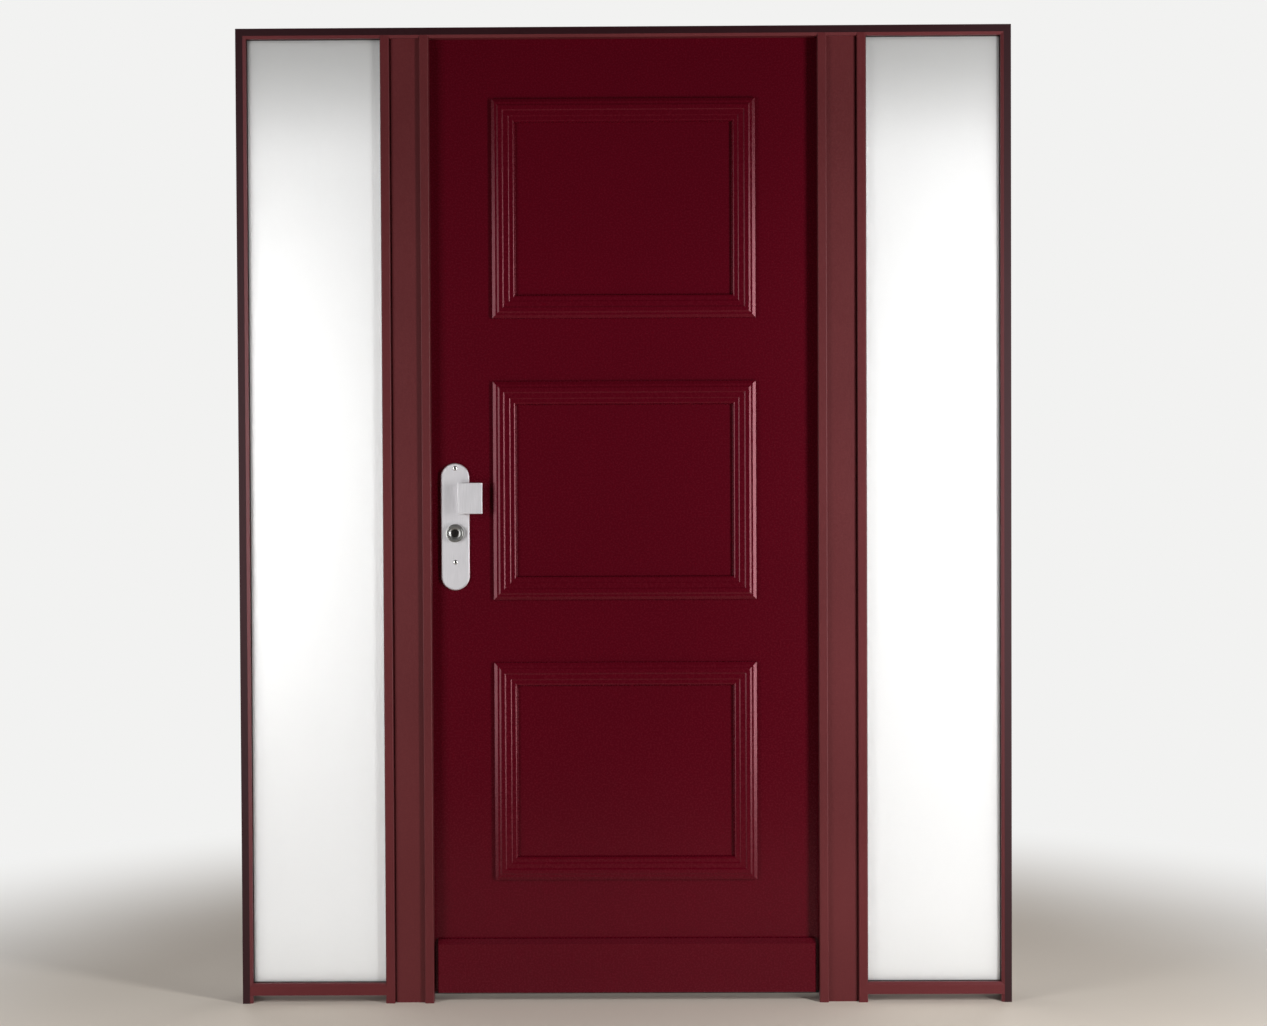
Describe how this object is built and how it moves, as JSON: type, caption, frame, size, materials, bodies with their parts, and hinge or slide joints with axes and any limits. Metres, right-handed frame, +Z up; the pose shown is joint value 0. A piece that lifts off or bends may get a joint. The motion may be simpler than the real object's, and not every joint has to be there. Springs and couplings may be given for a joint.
{
  "type": "security door with side lights",
  "caption": "Steel entrance door set: an inward-opening leaf with raised mouldings and a kick plate, between two narrow frosted side lights in one frame.",
  "frame": {"origin": "outer side of the left jamb, at floor level, halfway through the frame's depth", "axes": "+X to the right seen from outside, +Y indoors, +Z up"},
  "size_m": [1.694, 0.164, 2.142],
  "materials": {
    "frame_paint": "satin powder coat, wine red",
    "leaf_paint": "satin paint, deep wine red",
    "frosted_glass": "white frosted",
    "black_rubber": "matt black",
    "satin_steel": "satin",
    "cylinder_nickel": "satin nickel",
    "lock_steel": "zinc plated",
    "hinge_steel": "satin",
    "mineral_wool": "pressed fibre"
  },
  "bodies": {
    "frame": {"head_rail": "frame_paint", "lock_jamb": "frame_paint", "hinge_jamb": "frame_paint", "left_outer_jamb": "frame_paint", "right_outer_jamb": "frame_paint", "left_side_stile": "frame_paint", "right_side_stile": "frame_paint", "left_bottom_rail": "frame_paint", "right_bottom_rail": "frame_paint", "left_post_cover": "frame_paint", "right_post_cover": "frame_paint", "left_joint_cover": "frame_paint", "right_joint_cover": "frame_paint", "left_glazing_bead": "frame_paint", "right_glazing_bead": "frame_paint", "left_glass": "frosted_glass", "right_glass": "frosted_glass", "stop_gasket": "black_rubber", "left_glass_gasket": "black_rubber", "right_glass_gasket": "black_rubber", "strike_plate": "lock_steel", "bottom_hinge_frame_half": "hinge_steel", "middle_hinge_frame_half": "hinge_steel", "top_hinge_frame_half": "hinge_steel"},
    "door_leaf": {"leaf_outer_skin": "leaf_paint", "leaf_inner_skin": "leaf_paint", "leaf_core": "mineral_wool", "lock_case": "lock_steel", "lock_face_plate": "lock_steel", "lock_bolts": "lock_steel", "lock_cylinder": "cylinder_nickel", "cylinder_guard": "satin_steel", "outer_escutcheon": "satin_steel", "inner_escutcheon": "satin_steel", "pull_handle": "satin_steel", "inner_lever": "satin_steel", "thumb_turn": "satin_steel", "kick_plate": "leaf_paint", "bottom_seal": "black_rubber", "bottom_moulding": "leaf_paint", "middle_moulding": "leaf_paint", "top_moulding": "leaf_paint", "bottom_hinge_leaf_half": "hinge_steel", "middle_hinge_leaf_half": "hinge_steel", "top_hinge_leaf_half": "hinge_steel"}
  },
  "joints": [
    {"name": "leaf_swing", "type": "hinge", "parent": "frame", "child": "door_leaf", "pos_m": [1.2865, 0.066, 0], "axis": [0, 0, -1], "range_deg": [0, 110]}
  ]
}
